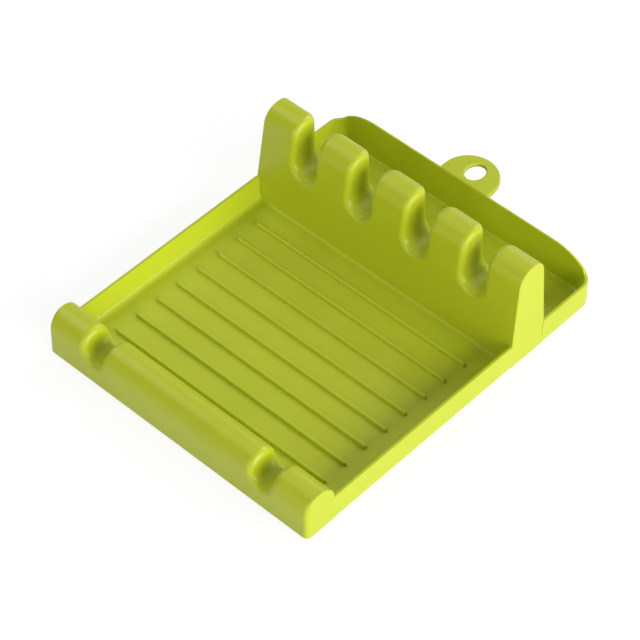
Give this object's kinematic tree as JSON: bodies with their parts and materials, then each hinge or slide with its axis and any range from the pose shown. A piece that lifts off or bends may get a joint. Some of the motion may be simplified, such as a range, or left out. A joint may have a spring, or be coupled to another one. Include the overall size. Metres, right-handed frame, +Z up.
{
  "type": "spoon rest",
  "caption": "Shallow plastic tray with a ribbed drip floor, a notched front lip, a tall comb that holds utensil handles apart, a rear channel for a lid and a tab to hang it by.",
  "frame": {"origin": "bottom centre of the bounding box, on the surface the tray stands on", "axes": "+X to the right seen from the front lip, +Y from the front lip to the hanging tab, +Z up"},
  "size_m": [0.166, 0.2194, 0.0562],
  "materials": {
    "polypropylene": "satin"
  },
  "bodies": {
    "root": {"tray_floor": "polypropylene", "left_tray_wall": "polypropylene", "right_tray_wall": "polypropylene", "front_lip": "polypropylene", "lip_crest_1": "polypropylene", "lip_crest_2": "polypropylene", "lip_crest_3": "polypropylene", "comb_base": "polypropylene", "comb_finger_1": "polypropylene", "comb_finger_2": "polypropylene", "comb_finger_3": "polypropylene", "comb_finger_4": "polypropylene", "comb_finger_5": "polypropylene", "lid_channel_floor": "polypropylene", "left_channel_wall": "polypropylene", "right_channel_wall": "polypropylene", "backboard": "polypropylene", "hanging_tab": "polypropylene", "drip_rib_1": "polypropylene", "drip_rib_2": "polypropylene", "drip_rib_3": "polypropylene", "drip_rib_4": "polypropylene", "drip_rib_5": "polypropylene", "drip_rib_6": "polypropylene", "drip_rib_7": "polypropylene", "drip_rib_8": "polypropylene"}
  },
  "joints": []
}
